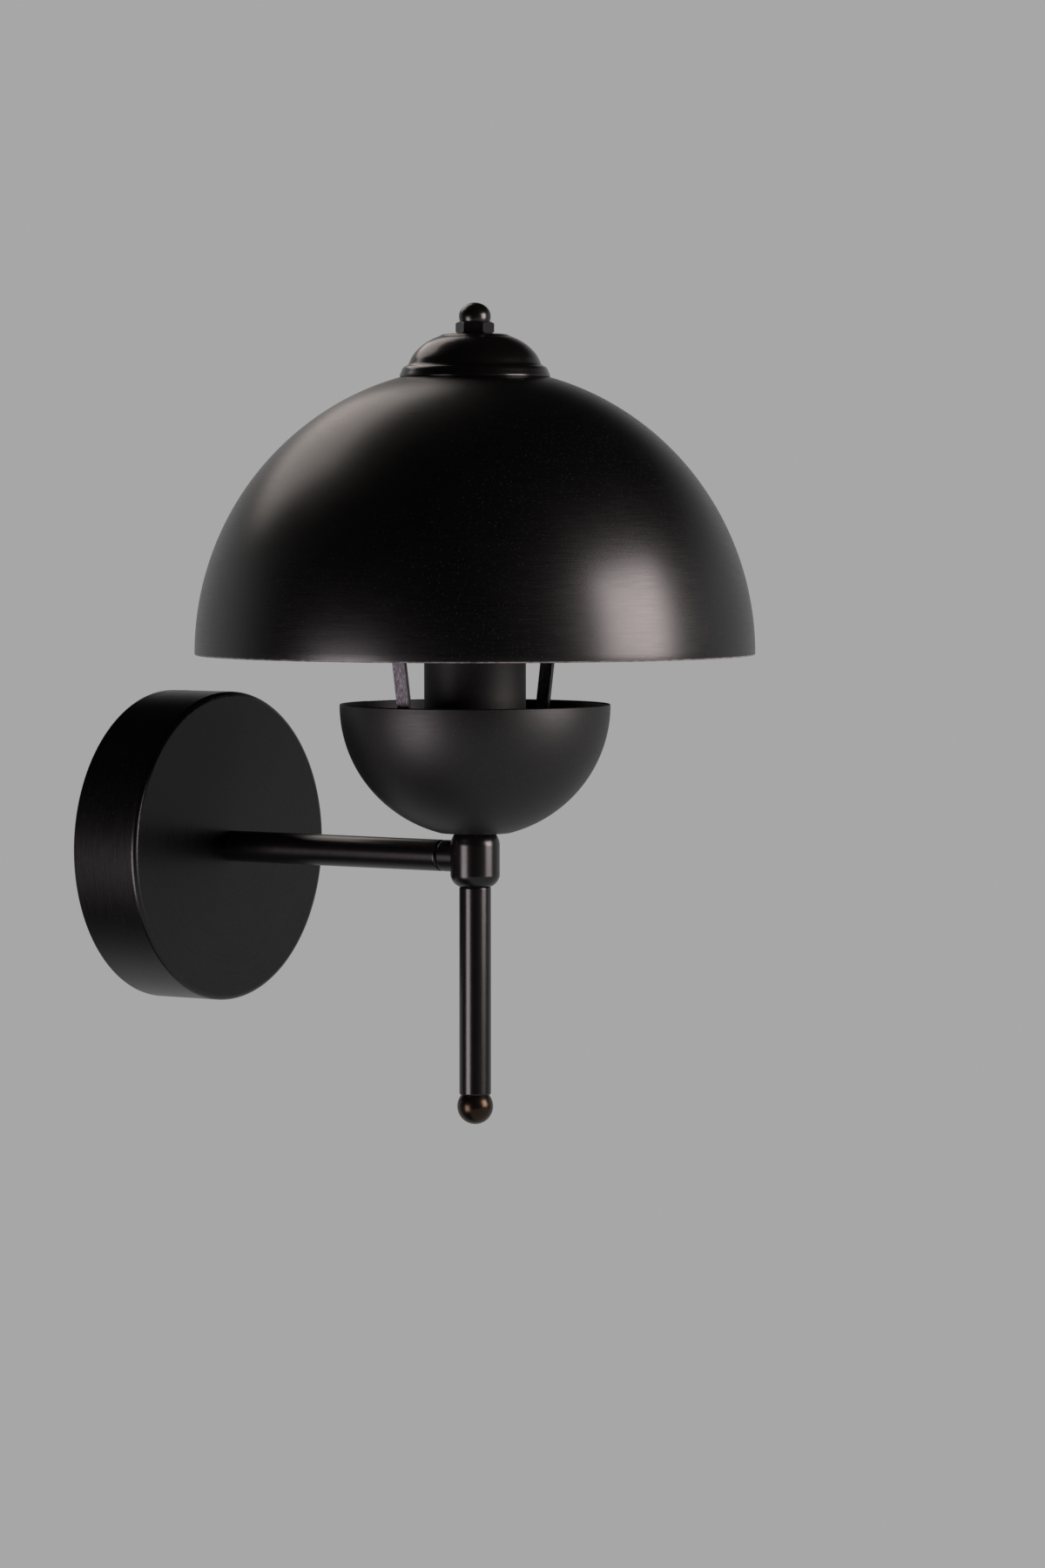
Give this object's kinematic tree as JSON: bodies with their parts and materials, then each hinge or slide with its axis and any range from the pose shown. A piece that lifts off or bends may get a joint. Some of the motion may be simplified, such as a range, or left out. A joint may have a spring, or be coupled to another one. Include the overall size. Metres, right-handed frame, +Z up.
{
  "type": "arm-mounted wall light",
  "caption": "Wall light with a round canopy, a straight arm, a drop rod and a half-round cup under a domed metal shade carried by a harp.",
  "frame": {"origin": "middle of the canopy's open back, on the wall plane", "axes": "+Y into the wall, +Z up, the arm reaches along -Y; +X is to the right for someone facing the wall"},
  "size_m": [0.2112, 0.2516, 0.3099],
  "materials": {
    "powder_coat_black": "satin powder coat",
    "gloss_black": "glossy black nickel lacquer",
    "zinc_steel": "zinc plated",
    "harp_steel": "thin black lacquer over bright steel",
    "brass": "machined",
    "nickel": "nickel plated",
    "phenolic_black": "moulded",
    "steatite": "unglazed ceramic",
    "polyamide_white": "moulded",
    "insulation_brown": "extruded",
    "insulation_blue": "extruded",
    "insulation_green_yellow": "extruded",
    "bulb_housing_white": "moulded",
    "opal": "frosted opal",
    "glass_black": "moulded black glass"
  },
  "bodies": {
    "fixture": {"wall_bracket": "zinc_steel", "canopy": "powder_coat_black", "canopy_grub_screws": "gloss_black", "terminal_block": "polyamide_white", "terminal_screws": "zinc_steel", "terminal_block_screw": "zinc_steel", "earth_screw": "brass", "earth_lug": "zinc_steel", "arm_earth_tag": "zinc_steel", "earth_lead": "insulation_green_yellow", "live_lead": "insulation_brown", "neutral_lead": "insulation_blue", "arm_nipple": "brass", "arm_washer": "zinc_steel", "arm_locknut": "brass", "arm_tube": "gloss_black", "arm_hub_nipple": "brass", "hub": "gloss_black", "rod_nipple": "brass", "drop_rod": "gloss_black", "rod_ball": "gloss_black", "stem_nipple": "brass", "cup": "powder_coat_black", "cup_washer": "zinc_steel", "cup_locknut": "brass", "saddle_locknut": "brass", "harp_saddle": "harp_steel", "harp_loop": "harp_steel", "harp_screws": "zinc_steel", "harp_nuts": "zinc_steel", "lampholder_sleeve": "powder_coat_black", "lampholder_body": "phenolic_black", "lampholder_insert": "steatite", "lampholder_screw_shell": "nickel", "lampholder_contact": "brass", "shade_stud": "zinc_steel", "stud_locknut": "zinc_steel", "shade_spacer": "zinc_steel", "shade_washer": "zinc_steel"},
    "bulb": {"bulb_contact": "nickel", "bulb_cap_insulator": "glass_black", "bulb_screw_cap": "nickel", "bulb_housing": "bulb_housing_white", "bulb_diffuser": "opal"},
    "shade": {"dome_shade": "powder_coat_black", "top_cap": "gloss_black"},
    "cap_nut": {"cap_nut": "gloss_black"},
    "finial": {"ball_finial": "gloss_black"}
  },
  "joints": [
    {"name": "shade_lift", "type": "slide", "parent": "fixture", "child": "shade", "axis": [0, 0, 1], "range_m": [0, 0.135]},
    {"name": "cap_nut_turn", "type": "hinge", "parent": "shade", "child": "cap_nut", "pos_m": [0, -0.146, 0.199], "axis": [0, 0, 1], "continuous": true},
    {"name": "finial_turn", "type": "hinge", "parent": "shade", "child": "finial", "pos_m": [0, -0.146, 0.204], "axis": [0, 0, 1], "continuous": true},
    {"name": "bulb_turn", "type": "hinge", "parent": "fixture", "child": "bulb", "pos_m": [0, -0.146, 0.09], "axis": [0, 0, 1], "continuous": true}
  ]
}
